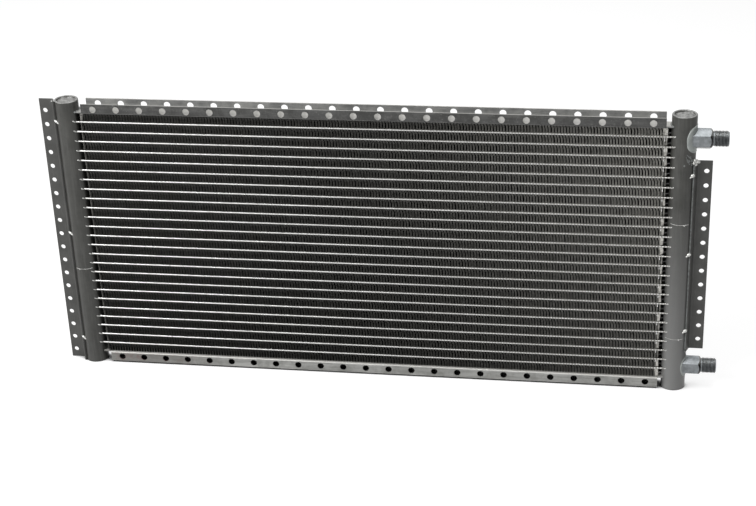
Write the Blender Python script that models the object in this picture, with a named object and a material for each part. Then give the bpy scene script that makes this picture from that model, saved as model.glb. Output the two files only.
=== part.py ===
"""Parallel-flow condenser coil: flat tubes and corrugated fins between two round headers.

Metres, +Z up. The tubes run along X and the air passes along Y. The origin lies under the
middle of the overall width, in the plane on which the two headers stand.
"""

import math

import bmesh
import bpy
from mathutils import Matrix, Vector

# Clearance between pieces that are brazed or welded together on the real coil
GAP = 0.0003
# How far a cutter runs past the piece that it cuts
PAST = 0.001

# Core: the tubes of each pass, from the top down, and the fins between them
PASS_TUBES = (9, 7, 5, 4)
TUBE_THICKNESS = 0.002
TUBE_DEPTH = 0.016
TUBE_WALL = 0.0004
TUBE_PORT_COUNT = 2
TUBE_INSERTION = 0.006
FIN_HEIGHT = 0.010
FIN_SHEET = 0.0004
FIN_LEGS = 20
FIN_END_GAP = 0.0036

# Headers: round tubes with a recessed cap at each end and baffles between the passes
HEADER_SPACING = 0.733
HEADER_DIAMETER = 0.029
HEADER_WALL = 0.0015
HEADER_RISE = 0.002
CAP_RECESS = 0.0025
CAP_THICKNESS = 0.002
BAFFLE_THICKNESS = 0.0015
HEADER_SIDES = 18

# Side channels: folded sheet with a row of holes through both flanges
CHANNEL_OVERHANG = 0.0035
CHANNEL_FLANGE = 0.0127
CHANNEL_SHEET = 0.0015
CHANNEL_BEND = 0.0005
CHANNEL_END_GAP = 0.0062
CHANNEL_HOLES = 24
CHANNEL_HOLE_MARGIN = 0.0146
CHANNEL_HOLE_DIAMETER = 0.0082
CHANNEL_HOLE_HEIGHT = 0.006
TOP_CHANNEL_SHIFT = 0.0005
BOTTOM_CHANNEL_SHIFT = 0.002
HOLE_SIDES = 8

# Mounting brackets: sheet rolled round the header and folded out to a flange with holes
BRACKET_SHEET = 0.002
BRACKET_BEND = 0.0025
BRACKET_WRAP = math.radians(38)
BRACKET_REACH = 0.034
BRACKET_HOLE_DIAMETER = 0.006
BRACKET_HOLE_EDGE = 0.0065
BRACKET_END_MARGIN = 0.0128
BRACKET_ROW_DROP = 0.002
LEFT_BRACKET_HOLES = 19
RIGHT_BRACKET_HOLES = 13
TACK_WELD_COUNT = 3
LEFT_WELD_PITCH = 0.148
RIGHT_WELD_PITCH = 0.101
WELD_ROW_RISE = 0.004
TACK_WELD_LENGTH = 0.007
TACK_WELD_WIDTH = 0.0036

# Fittings: hexagonal weld-on bodies with a male thread and a bore into the header
FITTING_MARGIN = 0.0295
HEX_ACROSS_FLATS = 0.022
HEX_END = 0.032
HEX_CHAMFER = 0.0014
THREAD_DIAMETER = 0.01905
THREAD_LENGTH = 0.0188
THREAD_CHAMFER = 0.001
PORT_BORE = 0.0115
SADDLE_DIAMETER = 0.0245
SADDLE_THICKNESS = 0.0014
FITTING_SIDES = 16

# Sizes that follow from those above
TUBE_COUNT = sum(PASS_TUBES)
TUBE_PITCH = TUBE_THICKNESS + FIN_HEIGHT + 2 * GAP
HEADER_RADIUS = HEADER_DIAMETER / 2
CHANNEL_SEAT = TUBE_COUNT / 2 * TUBE_PITCH + FIN_HEIGHT / 2 + GAP
HEADER_LENGTH = 2 * (CHANNEL_SEAT + CHANNEL_FLANGE + HEADER_RISE)
TUBE_LENGTH = HEADER_SPACING - 2 * (HEADER_RADIUS - TUBE_INSERTION)
FIN_LENGTH = HEADER_SPACING - 2 * (HEADER_RADIUS + FIN_END_GAP)
CHANNEL_WIDTH = TUBE_DEPTH + 2 * CHANNEL_OVERHANG
CHANNEL_LENGTH = HEADER_SPACING - 2 * (HEADER_RADIUS + CHANNEL_END_GAP)
CHANNEL_HOLE_PITCH = (CHANNEL_LENGTH - 2 * CHANNEL_HOLE_MARGIN) / (CHANNEL_HOLES - 1)
BRACKET_HOLE_PITCH = (HEADER_LENGTH - 2 * BRACKET_END_MARGIN) / (LEFT_BRACKET_HOLES - 1)
FITTING_REACH = HEX_END + THREAD_LENGTH
MIDDLE_X = (BRACKET_REACH - FITTING_REACH) / 2
MIDDLE_Z = HEADER_LENGTH / 2
LEFT_X = MIDDLE_X - HEADER_SPACING / 2
RIGHT_X = MIDDLE_X + HEADER_SPACING / 2


def clear_scene():
    for obj in list(bpy.data.objects):
        bpy.data.objects.remove(obj, do_unlink=True)


def make_material(name, color, roughness, metallic):
    material = bpy.data.materials.new(name)
    material.use_nodes = True
    shader = material.node_tree.nodes["Principled BSDF"]
    shader.inputs["Base Color"].default_value = (*color, 1.0)
    shader.inputs["Roughness"].default_value = roughness
    shader.inputs["Metallic"].default_value = metallic
    material.diffuse_color = (*color, 1.0)
    return material


def place_object(name, mesh, place, material=None):
    if material and not mesh.materials:
        mesh.materials.append(material)
    obj = bpy.data.objects.new(name, mesh)
    obj.location = place
    bpy.context.scene.collection.objects.link(obj)
    return obj


def mesh_of(name, bm, smooth=True):
    bmesh.ops.recalc_face_normals(bm, faces=bm.faces)
    mesh = bpy.data.meshes.new(name)
    bm.to_mesh(mesh)
    bm.free()
    if smooth:
        mesh.shade_smooth()
        mesh.set_sharp_from_angle(angle=math.radians(30))
    return mesh


def make_cutter(name, bm, place):
    """A helper shape for a Boolean, which stays out of the render."""
    obj = place_object(name, mesh_of(name, bm, smooth=False), place)
    obj.display_type = "WIRE"
    obj.hide_render = True
    return obj


def add_boolean(obj, other, operation):
    modifier = obj.modifiers.new(other.name, "BOOLEAN")
    modifier.operation = operation
    modifier.object = other


def add_box(bm, low, high):
    size = Vector(high) - Vector(low)
    middle = (Vector(high) + Vector(low)) / 2
    matrix = Matrix.Translation(middle) @ Matrix.Diagonal((*size, 1.0))
    bmesh.ops.create_cube(bm, size=1.0, matrix=matrix)


def add_rod(bm, radius, start, end, sides, turn=0.0):
    """A round or many-sided rod between two points, turned about its own axis."""
    along = Vector(end) - Vector(start)
    matrix = Matrix.Translation((Vector(start) + Vector(end)) / 2)
    matrix = matrix @ along.to_track_quat("Z", "Y").to_matrix().to_4x4()
    matrix = matrix @ Matrix.Rotation(turn, 4, "Z")
    bmesh.ops.create_cone(
        bm, cap_ends=True, segments=sides, radius1=radius, radius2=radius, depth=along.length, matrix=matrix
    )


def add_extrusion(bm, outline, along):
    """A flat outline, given as points in order, swept along a vector."""
    face = bm.faces.new([bm.verts.new(point) for point in outline])
    swept = bmesh.ops.extrude_face_region(bm, geom=[face])["geom"]
    moved = [item for item in swept if isinstance(item, bmesh.types.BMVert)]
    bmesh.ops.translate(bm, verts=moved, vec=along)


def turned(profile, sides, axis, first):
    """A turned solid from (distance along the axis, radius) points; its corners start at first."""
    bm = bmesh.new()
    along = Vector(axis)
    side = Vector(first)
    points = [bm.verts.new(along * distance + side * radius) for distance, radius in profile]
    edges = [bm.edges.new(pair) for pair in zip(points, points[1:])]
    bmesh.ops.spin(
        bm, geom=points + edges, axis=along, cent=(0, 0, 0), angle=math.tau, steps=sides, use_merge=True
    )
    rims = [edge for edge in bm.edges if edge.is_boundary]
    bmesh.ops.holes_fill(bm, edges=rims, sides=0)
    return bm


def arc(centre, radius, start, end, steps):
    """Points on an arc in a plane, both ends included."""
    angles = [start + (end - start) * step / steps for step in range(steps + 1)]
    return [(centre[0] + radius * math.cos(a), centre[1] + radius * math.sin(a)) for a in angles]


def row_positions(count, pitch):
    return [(index - (count - 1) / 2) * pitch for index in range(count)]


def tube_height(index):
    """Height of a tube's middle, counted from the top."""
    return MIDDLE_Z + ((TUBE_COUNT - 1) / 2 - index) * TUBE_PITCH


def baffle_heights(side):
    """Heights of one header's baffles: they alternate, starting in the right header."""
    heights = []
    passed = 0
    for number, tubes in enumerate(PASS_TUBES[:-1]):
        passed += tubes
        if (number % 2 == 0) == (side == "right"):
            heights.append(tube_height(passed - 0.5))
    return heights


def tube_mesh(material):
    """Extruded flat tube with bevelled edges and open ports along its whole length."""
    half, edge = TUBE_DEPTH / 2, TUBE_THICKNESS / 2
    bevel = edge * (2 - math.sqrt(2))
    right = [(half - bevel, -edge), (half, bevel - edge), (half, edge - bevel), (half - bevel, edge)]
    outline = right + [(-y, -z) for y, z in right]
    bm = bmesh.new()
    start = -TUBE_LENGTH / 2
    add_extrusion(bm, [(start, y, z) for y, z in outline], (TUBE_LENGTH, 0, 0))
    mesh = mesh_of("flat_tube", bm)
    mesh.materials.append(material)
    return mesh


def port_cutter():
    """The ports of one tube, side by side between equal webs."""
    bm = bmesh.new()
    room = TUBE_DEPTH - TUBE_THICKNESS
    width = (room - (TUBE_PORT_COUNT - 1) * TUBE_WALL) / TUBE_PORT_COUNT
    reach = TUBE_LENGTH / 2 + PAST
    height = TUBE_THICKNESS / 2 - TUBE_WALL
    for middle in row_positions(TUBE_PORT_COUNT, width + TUBE_WALL):
        add_box(bm, (-reach, middle - width / 2, -height), (reach, middle + width / 2, height))
    return bm


def build_tubes(material):
    mesh = tube_mesh(material)
    for index in range(TUBE_COUNT):
        place = (MIDDLE_X, 0, tube_height(index))
        tube = place_object(f"flat_tube_{index + 1:02d}", mesh, place)
        add_boolean(tube, make_cutter(f"ports_{index + 1:02d}", port_cutter(), place), "DIFFERENCE")


def fin_mesh(material):
    """One strip of fin stock, folded up and down between two tubes."""
    run = FIN_LENGTH / FIN_LEGS
    slope = math.atan2(FIN_HEIGHT, run)
    across = FIN_SHEET / math.cos(slope)
    swing = (FIN_HEIGHT - across) / 2
    crests = [(index * run - FIN_LENGTH / 2, swing * (-1) ** index) for index in range(FIN_LEGS + 1)]
    lower = [(x, z - across / 2) for x, z in crests]
    upper = [(x, z + across / 2) for x, z in reversed(crests)]
    bm = bmesh.new()
    add_extrusion(bm, [(x, -TUBE_DEPTH / 2, z) for x, z in lower + upper], (0, TUBE_DEPTH, 0))
    mesh = mesh_of("fin_strip", bm, smooth=False)
    mesh.materials.append(material)
    return mesh


def build_fins(material):
    mesh = fin_mesh(material)
    for index in range(TUBE_COUNT + 1):
        place = (MIDDLE_X, 0, tube_height(index - 0.5))
        place_object(f"fin_strip_{index + 1:02d}", mesh, place)


def header_blank():
    """The header's outer form, with a recess above the cap at each end."""
    top = HEADER_LENGTH
    inner = HEADER_RADIUS - HEADER_WALL
    profile = [(CAP_RECESS, inner), (0, inner), (0, HEADER_RADIUS)]
    profile += [(top, HEADER_RADIUS), (top, inner), (top - CAP_RECESS, inner)]
    return turned(profile, HEADER_SIDES, (0, 0, 1), (1, 0, 0))


def chamber_cutter(side):
    """The header's inside: one chamber between each two caps or baffles."""
    floor = CAP_RECESS + CAP_THICKNESS
    stops = [(floor, floor)]
    for height in sorted(baffle_heights(side)):
        stops.append((height - BAFFLE_THICKNESS / 2, height + BAFFLE_THICKNESS / 2))
    stops.append((HEADER_LENGTH - floor, HEADER_LENGTH - floor))
    bm = bmesh.new()
    inner = HEADER_RADIUS - HEADER_WALL
    for below, above in zip(stops, stops[1:]):
        add_rod(bm, inner, (0, 0, below[1]), (0, 0, above[0]), HEADER_SIDES, math.pi / 2)
    return bm


def slot_cutter(inwards):
    """A slot for each tube through the wall on the core's side."""
    bm = bmesh.new()
    depth = TUBE_DEPTH / 2 + GAP
    height = TUBE_THICKNESS / 2 + GAP
    near, far = sorted((0.0, inwards * (HEADER_RADIUS + PAST)))
    for index in range(TUBE_COUNT):
        middle = tube_height(index)
        add_box(bm, (near, -depth, middle - height), (far, depth, middle + height))
    return bm


def fitting_heights():
    return [HEADER_LENGTH - FITTING_MARGIN, FITTING_MARGIN]


def port_hole_cutter():
    """The two holes in the right header that the fittings' bores open into."""
    bm = bmesh.new()
    for height in fitting_heights():
        end = (HEADER_RADIUS + PAST, 0, height)
        add_rod(bm, PORT_BORE / 2, (0, 0, height), end, FITTING_SIDES)
    return bm


def build_header(side, material):
    x, inwards = (LEFT_X, 1) if side == "left" else (RIGHT_X, -1)
    place = (x, 0, 0)
    header = place_object(f"{side}_header", mesh_of(f"{side}_header", header_blank()), place, material)
    cuts = {"chambers": chamber_cutter(side), "slots": slot_cutter(inwards)}
    if side == "right":
        cuts["port_holes"] = port_hole_cutter()
    for name, bm in cuts.items():
        add_boolean(header, make_cutter(f"{side}_{name}", bm, place), "DIFFERENCE")


def channel_outline():
    """The folded section across the channel, flanges up, from its underside."""
    half = CHANNEL_WIDTH / 2
    outer = CHANNEL_BEND + CHANNEL_SHEET
    centre = (half - outer, outer)
    outside = arc(centre, outer, -math.pi / 2, 0, 2)
    inside = arc(centre, CHANNEL_BEND, 0, -math.pi / 2, 2)
    tip = [(half, CHANNEL_FLANGE), (half - CHANNEL_SHEET, CHANNEL_FLANGE)]
    right = outside + tip + inside
    left = [(-y, z) for y, z in reversed(right)]
    return right + left


def hole_row_cutter():
    """One rod for each pair of holes, through both flanges."""
    bm = bmesh.new()
    reach = CHANNEL_WIDTH / 2 + PAST
    for x in row_positions(CHANNEL_HOLES, CHANNEL_HOLE_PITCH):
        start, end = (x, -reach, CHANNEL_HOLE_HEIGHT), (x, reach, CHANNEL_HOLE_HEIGHT)
        add_rod(bm, CHANNEL_HOLE_DIAMETER / 2, start, end, HOLE_SIDES, math.pi / HOLE_SIDES)
    return bm


def web_tongues():
    """The web runs on past the flanges, as wide as the core, to both headers."""
    bm = bmesh.new()
    reach = HEADER_SPACING / 2
    low = (-reach, -TUBE_DEPTH / 2, 0)
    add_box(bm, low, (reach, TUBE_DEPTH / 2, CHANNEL_SHEET))
    return bm


def header_clearance(radius):
    """Both headers' outsides with the gap round them, to seat a piece against them."""
    bm = bmesh.new()
    for x in (LEFT_X, RIGHT_X):
        add_rod(bm, radius, (x, 0, -PAST), (x, 0, HEADER_LENGTH + PAST), HEADER_SIDES * 2)
    return bm


def build_channel(name, shift, upright, material):
    """A side channel on the outermost fins; the bottom one has its flanges down."""
    bm = bmesh.new()
    start = -CHANNEL_LENGTH / 2
    add_extrusion(bm, [(start, y, z) for y, z in channel_outline()], (CHANNEL_LENGTH, 0, 0))
    seat = MIDDLE_Z + (CHANNEL_SEAT if upright else -CHANNEL_SEAT)
    place = (MIDDLE_X + shift, 0, seat)
    channel = place_object(name, mesh_of(name, bm), place, material)
    tongues = make_cutter(f"{name}_tongues", web_tongues(), (MIDDLE_X, 0, seat))
    holes = make_cutter(f"{name}_holes", hole_row_cutter(), place)
    clearance = make_cutter(f"{name}_clearance", header_clearance(HEADER_RADIUS + GAP), (0, 0, 0))
    if not upright:
        for obj in (channel, tongues, holes):
            obj.rotation_euler = (math.pi, 0, 0)
    add_boolean(channel, tongues, "UNION")
    add_boolean(channel, clearance, "DIFFERENCE")
    add_boolean(channel, holes, "DIFFERENCE")


def bracket_outline():
    """Section of the right bracket in plan: the rolled leg, the fold and the flange."""
    inner = HEADER_RADIUS + GAP
    outer = inner + BRACKET_SHEET
    middle = BRACKET_BEND + BRACKET_SHEET / 2
    lean = math.asin(middle / (outer + BRACKET_BEND))
    fold = outer + BRACKET_BEND
    centre = (fold * math.cos(lean), -fold * math.sin(lean))
    near = arc((0, 0), inner, -lean, -BRACKET_WRAP, 3)
    far = arc((0, 0), outer, -BRACKET_WRAP, -lean, 3)
    front = arc(centre, BRACKET_BEND, math.pi - lean, math.pi / 2, 3)
    back = arc(centre, BRACKET_BEND + BRACKET_SHEET, math.pi / 2, math.pi - lean, 3)
    tip = [(BRACKET_REACH, -BRACKET_SHEET / 2), (BRACKET_REACH, BRACKET_SHEET / 2)]
    return near + far[:-1] + front + tip + back[:-1]


def tack_welds(sign, pitch):
    """Short beads along the leg's front edge."""
    bm = bmesh.new()
    radius = HEADER_RADIUS + GAP + BRACKET_SHEET / 2
    x = sign * radius * math.cos(BRACKET_WRAP)
    y = -radius * math.sin(BRACKET_WRAP)
    size = (TACK_WELD_WIDTH, TACK_WELD_WIDTH, TACK_WELD_LENGTH, 1.0)
    for offset in row_positions(TACK_WELD_COUNT, pitch):
        place = (x, y, MIDDLE_Z + WELD_ROW_RISE + offset)
        matrix = Matrix.Translation(place) @ Matrix.Diagonal(size)
        bmesh.ops.create_uvsphere(bm, u_segments=5, v_segments=3, radius=0.5, matrix=matrix)
    return bm


def bracket_holes(sign, count):
    bm = bmesh.new()
    x = sign * (BRACKET_REACH - BRACKET_HOLE_EDGE)
    reach = BRACKET_SHEET / 2 + PAST
    for offset in row_positions(count, BRACKET_HOLE_PITCH):
        z = MIDDLE_Z - BRACKET_ROW_DROP + offset
        start, end = (x, -reach, z), (x, reach, z)
        add_rod(bm, BRACKET_HOLE_DIAMETER / 2, start, end, HOLE_SIDES, math.pi / HOLE_SIDES)
    return bm


def build_bracket(side, holes, weld_pitch, middle, length, material):
    """An angle along the header; the left one is the right one's mirror image."""
    sign, x = (-1, LEFT_X) if side == "left" else (1, RIGHT_X)
    name = f"{side}_mounting_bracket"
    bm = bmesh.new()
    bottom = middle - length / 2
    outline = [(sign * px, py, bottom) for px, py in bracket_outline()]
    add_extrusion(bm, outline, (0, 0, length))
    place = (x, 0, 0)
    bracket = place_object(name, mesh_of(name, bm), place, material)
    beads = make_cutter(f"{name}_beads", tack_welds(sign, weld_pitch), place)
    cutter = make_cutter(f"{name}_holes", bracket_holes(sign, holes), place)
    clearance = make_cutter(f"{name}_clearance", header_clearance(HEADER_RADIUS + GAP / 2), (0, 0, 0))
    add_boolean(bracket, beads, "UNION")
    add_boolean(bracket, clearance, "DIFFERENCE")
    add_boolean(bracket, cutter, "DIFFERENCE")


def saddle_pad():
    """A round pad, as thick as the saddle, that follows the header's curve."""
    bm = bmesh.new()
    outer = HEADER_RADIUS + GAP + SADDLE_THICKNESS
    reach = SADDLE_DIAMETER / 2 + PAST
    add_rod(bm, outer, (0, 0, -reach), (0, 0, reach), HEADER_SIDES * 2)
    return bm


def build_fitting(name, height, material):
    place = (RIGHT_X, 0, height)
    corner = HEX_ACROSS_FLATS / math.sqrt(3)
    thread = THREAD_DIAMETER / 2
    start = HEADER_RADIUS / 2
    saddle = bmesh.new()
    add_rod(saddle, SADDLE_DIAMETER / 2, (start, 0, 0), (HEX_END, 0, 0), FITTING_SIDES)
    pad = place_object(name, mesh_of(name, saddle), place, material)
    curve = make_cutter(f"{name}_curve", saddle_pad(), place)
    hexagon = bmesh.new()
    add_rod(hexagon, corner, (start, 0, 0), (HEX_END, 0, 0), 6)
    prism = make_cutter(f"{name}_hexagon", hexagon, place)
    chamfer_start = HEX_END - HEX_CHAMFER / 2
    blank = [(0, corner + PAST), (chamfer_start, corner), (HEX_END, HEX_ACROSS_FLATS / 2 - HEX_CHAMFER / 2)]
    blank_shape = turned(blank, FITTING_SIDES, (1, 0, 0), (0, 1, 0))
    add_boolean(prism, make_cutter(f"{name}_blank", blank_shape, place), "INTERSECT")
    spigot = [(start, thread), (FITTING_REACH - THREAD_CHAMFER, thread), (FITTING_REACH, thread - THREAD_CHAMFER)]
    stem = make_cutter(f"{name}_stem", turned(spigot, FITTING_SIDES, (1, 0, 0), (0, 1, 0)), place)
    bore = bmesh.new()
    add_rod(bore, PORT_BORE / 2, (0, 0, 0), (FITTING_REACH + PAST, 0, 0), FITTING_SIDES)
    passage = make_cutter(f"{name}_bore", bore, place)
    seat = make_cutter(f"{name}_seat", header_clearance(HEADER_RADIUS + GAP), (0, 0, 0))
    add_boolean(pad, curve, "INTERSECT")
    add_boolean(pad, prism, "UNION")
    add_boolean(pad, stem, "UNION")
    add_boolean(pad, seat, "DIFFERENCE")
    add_boolean(pad, passage, "DIFFERENCE")


def main():
    clear_scene()
    header_paint = make_material("header_aluminium", (0.13, 0.13, 0.125), 0.45, 0.6)
    tube_metal = make_material("tube_aluminium", (0.72, 0.73, 0.74), 0.32, 0.9)
    fin_metal = make_material("fin_aluminium", (0.045, 0.045, 0.045), 0.5, 0.5)
    channel_metal = make_material("channel_aluminium", (0.30, 0.30, 0.29), 0.42, 0.8)
    bracket_metal = make_material("bracket_aluminium", (0.12, 0.12, 0.115), 0.48, 0.6)
    fitting_metal = make_material("fitting_aluminium", (0.42, 0.43, 0.43), 0.38, 0.85)
    build_tubes(tube_metal)
    build_fins(fin_metal)
    for side in ("left", "right"):
        build_header(side, header_paint)
    build_channel("top_side_channel", TOP_CHANNEL_SHIFT, True, channel_metal)
    build_channel("bottom_side_channel", BOTTOM_CHANNEL_SHIFT, False, channel_metal)
    build_bracket("left", LEFT_BRACKET_HOLES, LEFT_WELD_PITCH, MIDDLE_Z, HEADER_LENGTH, bracket_metal)
    right_holes = RIGHT_BRACKET_HOLES
    right_length = (right_holes - 1) * BRACKET_HOLE_PITCH + 2 * BRACKET_END_MARGIN
    right_middle = MIDDLE_Z - BRACKET_ROW_DROP
    build_bracket("right", right_holes, RIGHT_WELD_PITCH, right_middle, right_length, bracket_metal)
    upper, lower = fitting_heights()
    build_fitting("upper_fitting", upper, fitting_metal)
    build_fitting("lower_fitting", lower, fitting_metal)


main()
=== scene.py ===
"""Finished look of a finned condenser coil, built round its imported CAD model.

Run as a script. Everything is in metres in the frame of the CAD model: the tubes run along X,
the air passes along Y and Z is up. The seen side of the coil faces -Y.
"""

import math
import random

import bmesh
import bpy
from bpy.props import FloatProperty, FloatVectorProperty, IntProperty, PointerProperty
from bpy.types import Operator, Panel, PropertyGroup
from mathutils import Matrix, Vector, noise


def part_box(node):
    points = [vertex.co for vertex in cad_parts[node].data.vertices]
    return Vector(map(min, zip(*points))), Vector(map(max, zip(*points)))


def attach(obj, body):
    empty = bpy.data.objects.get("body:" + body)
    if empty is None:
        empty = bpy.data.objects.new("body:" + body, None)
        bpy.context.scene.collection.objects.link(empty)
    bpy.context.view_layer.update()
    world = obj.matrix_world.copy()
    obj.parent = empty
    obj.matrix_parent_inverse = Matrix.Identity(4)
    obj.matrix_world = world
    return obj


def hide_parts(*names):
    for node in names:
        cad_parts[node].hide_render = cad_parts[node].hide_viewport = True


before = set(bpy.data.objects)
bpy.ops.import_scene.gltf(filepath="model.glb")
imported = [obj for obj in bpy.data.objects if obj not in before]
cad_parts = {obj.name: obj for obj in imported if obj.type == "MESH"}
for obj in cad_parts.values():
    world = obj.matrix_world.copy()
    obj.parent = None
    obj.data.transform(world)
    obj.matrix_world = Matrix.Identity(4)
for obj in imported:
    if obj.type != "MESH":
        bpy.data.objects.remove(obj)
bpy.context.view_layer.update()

bl_info = {
    "name": "Finned condenser coil",
    "version": (1, 0, 0),
    "blender": (4, 5, 0),
    "location": "View3D > Sidebar > Coil",
    "description": "Builds the finished look of a parallel-flow condenser coil on its CAD model",
    "category": "Object",
}

MM = 0.001
MERGE_DISTANCE = 1e-7
FIN_WAVE_MM = 3.5
LOUVRE_PITCH = 1.2 * MM


# Places read from the CAD model


def numbered(stem):
    return sorted(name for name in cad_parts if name.startswith(stem))


def middle_of(node):
    low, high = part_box(node)
    return (low + high) / 2


TUBES = numbered("flat_tube_")
FINS = numbered("fin_strip_")
LEFT_AXIS = middle_of("left_header").x
RIGHT_AXIS = middle_of("right_header").x
HEADER_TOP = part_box("left_header")[1].z
HEADER_RADIUS = (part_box("left_header")[1].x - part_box("left_header")[0].x) / 2
HEADER_FRONT = -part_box("left_header")[0].y
MIDDLE_Z = HEADER_TOP / 2
UPPER_PORT = middle_of("upper_fitting").z
LOWER_PORT = middle_of("lower_fitting").z
PORTS = (("upper", UPPER_PORT), ("lower", LOWER_PORT))

# Port fittings: where parts start from the right header's axis, the hexagon's width and three radii
HEX_START = 9.0 * MM
HEX_END = 32.0 * MM
HEX_FLATS = 22.0 * MM
THREAD_START = 33.0 * MM
THREAD_ROOT = 8.5 * MM
THREAD_CREST = 9.5 * MM
PORT_BORE = 5.75 * MM


# Colour and node helpers


def linear(hex_code):
    """An sRGB hex colour as the linear RGBA that shaders take."""
    channels = [int(hex_code[i : i + 2], 16) / 255 for i in (1, 3, 5)]
    return tuple(c / 12.92 if c <= 0.04045 else ((c + 0.055) / 1.055) ** 2.4 for c in channels) + (1.0,)


def add_node(tree, kind, inputs=None, **settings):
    """Adds one shader node; inputs maps a socket to a value or to another node's output."""
    node = tree.nodes.new("ShaderNode" + kind)
    for name, value in settings.items():
        setattr(node, name, value)
    for socket, value in (inputs or {}).items():
        if isinstance(value, bpy.types.NodeSocket):
            tree.links.new(value, node.inputs[socket])
        else:
            node.inputs[socket].default_value = value
    return node


def empty_tree(block):
    """The node tree of a material or world, with nothing in it."""
    block.use_nodes = True
    block.node_tree.nodes.clear()
    return block.node_tree


def new_material(name, roughness, metallic):
    """An empty metal with its shader, its output and Object coordinates."""
    material = bpy.data.materials.new(name)
    tree = empty_tree(material)
    shader = add_node(tree, "BsdfPrincipled", {"Roughness": roughness, "Metallic": metallic})
    add_node(tree, "OutputMaterial", {"Surface": shader.outputs["BSDF"]})
    place = add_node(tree, "TexCoord").outputs["Object"]
    return material, shader, place


# The helpers below find the node tree from the sockets that they are given


def stretched(place, scale):
    """Coordinates scaled unevenly, to draw a pattern out along one axis."""
    return add_node(place.id_data, "Mapping", {"Vector": place, "Scale": scale}).outputs["Vector"]


def cloud(vector, scale, detail=4.0, roughness=0.6):
    """Soft noise between 0 and 1; scale is the number of spots in a metre."""
    inputs = {"Vector": vector, "Scale": scale, "Detail": detail, "Roughness": roughness}
    return add_node(vector.id_data, "TexNoise", inputs).outputs["Fac"]


def band(value, low, high, to_low=0.0, to_high=1.0):
    """Stretches a value from low..high to to_low..to_high, and holds it there outside."""
    inputs = {"Value": value, "From Min": low, "From Max": high, "To Min": to_low, "To Max": to_high}
    return add_node(value.id_data, "MapRange", inputs).outputs["Result"]


def tint(amount, *colours):
    """Two colours mixed by an amount; each is an sRGB hex code, a linear colour or a node's output."""
    first, second = (linear(colour) if isinstance(colour, str) else colour for colour in colours)
    inputs = {"Factor": amount, 6: first, 7: second}
    return add_node(amount.id_data, "Mix", inputs, data_type="RGBA").outputs[2]


def math_node(operation, first, *others):
    inputs = dict(enumerate((first, *others)))
    return add_node(first.id_data, "Math", inputs, operation=operation).outputs[0]


def product(first, second):
    return math_node("MULTIPLY", first, second)


def axes(vector):
    """The separate X, Y and Z of a vector."""
    return add_node(vector.id_data, "SeparateXYZ", {"Vector": vector}).outputs


def facing_up(shader):
    """How far the surface faces up: the Z of its normal."""
    return axes(add_node(shader.id_data, "NewGeometry").outputs["Normal"])["Z"]


def stripes(place, period, direction, look):
    """Soft stripes that repeat every period, in metres, along X or Y."""
    inputs = {"Vector": place, "Scale": math.tau / 20 / period, **look}
    node = add_node(place.id_data, "TexWave", inputs, wave_type="BANDS", bands_direction=direction)
    return node.outputs["Fac"]


def bump(shader, height, distance, strength):
    inputs = {"Height": height, "Distance": distance, "Strength": strength}
    node = add_node(height.id_data, "Bump", inputs)
    height.id_data.links.new(node.outputs["Normal"], shader.inputs["Normal"])


def paint(shader, base, roughness=None):
    """Links the colour, and the roughness where it varies."""
    base.id_data.links.new(base, shader.inputs["Base Color"])
    if roughness is not None:
        base.id_data.links.new(roughness, shader.inputs["Roughness"])


# Materials


def patchy_metal(name, roughness, metallic, patches, spread, colours, dents, worn=None):
    """A metal in two shades. Patches and dents start with their noise's scale and detail;
    dents end with their height in mm and strength, and worn is the range of roughness."""
    material, shader, place = new_material(name, roughness, metallic)
    fac = cloud(place, *patches)
    base = tint(band(fac, *spread), *colours)
    paint(shader, base, band(fac, 0.3, 0.7, *worn) if worn else None)
    scale, detail, height, strength = dents
    bump(shader, cloud(place, scale, detail), height * MM, strength)
    return material


def coated_header_metal():
    """Drawn aluminium tube with a satin grey coat, smudged, and painted paler at the right header's foot as
    light from the floor.
    """
    material, shader, place = new_material("satin coated drawn aluminium", 0.42, 0.2)
    smudges = cloud(place, 55.0, 6.0, 0.65)
    streaks = cloud(stretched(place, (1.0, 1.0, 0.06)), 380.0, 3.0)
    base = tint(band(smudges, 0.35, 0.7), "#3A3A37", "#494946")
    base = tint(band(streaks, 0.5, 0.8, 0.0, 0.4), base, "#656563")
    where = axes(place)
    # Painted light: the right header is painted paler towards its foot, standing in for light from the floor
    pale = product(band(where["X"], -0.3, 0.3), band(where["Z"], 0.25, 0.0))
    base = tint(pale, base, "#8B8B8A")
    # Small scuffs, about 2 mm across, where the coat is rubbed through
    scuffs = band(cloud(place, 480.0, 8.0, 0.8), 0.66, 0.74, 0.0, 0.5)
    base = tint(scuffs, base, "#9A9A96")
    paint(shader, base, band(smudges, 0.3, 0.7, 0.34, 0.5))
    bump(shader, cloud(place, 900.0, 3.0), 0.05 * MM, 0.35)
    return material


def rubbed_end_metal():
    """The headers' rims and caps: the same coat, worn pale on the edges and dusty in the dish."""
    return patchy_metal(
        "worn coated end cap", 0.4, 0.3, (210.0, 6.0, 0.7), (0.35, 0.68), ("#626260", "#9A9A98"),
        (600.0, 4.0, 0.15, 0.6), worn=(0.3, 0.5))


def coated_bracket_metal():
    """Rolled aluminium sheet with the same satin grey coat, flatter and a little darker."""
    material, shader, place = new_material("satin coated rolled aluminium", 0.46, 0.2)
    smudges = cloud(place, 40.0, 5.0, 0.6)
    grain = cloud(stretched(place, (1.0, 1.0, 0.05)), 900.0, 2.0)
    base = tint(band(smudges, 0.35, 0.7), "#424240", "#535351")
    base = tint(band(grain, 0.55, 0.85, 0.0, 0.3), base, "#7B7B78")
    paint(shader, base)
    bump(shader, grain, 0.03 * MM, 0.4)
    return material


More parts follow.
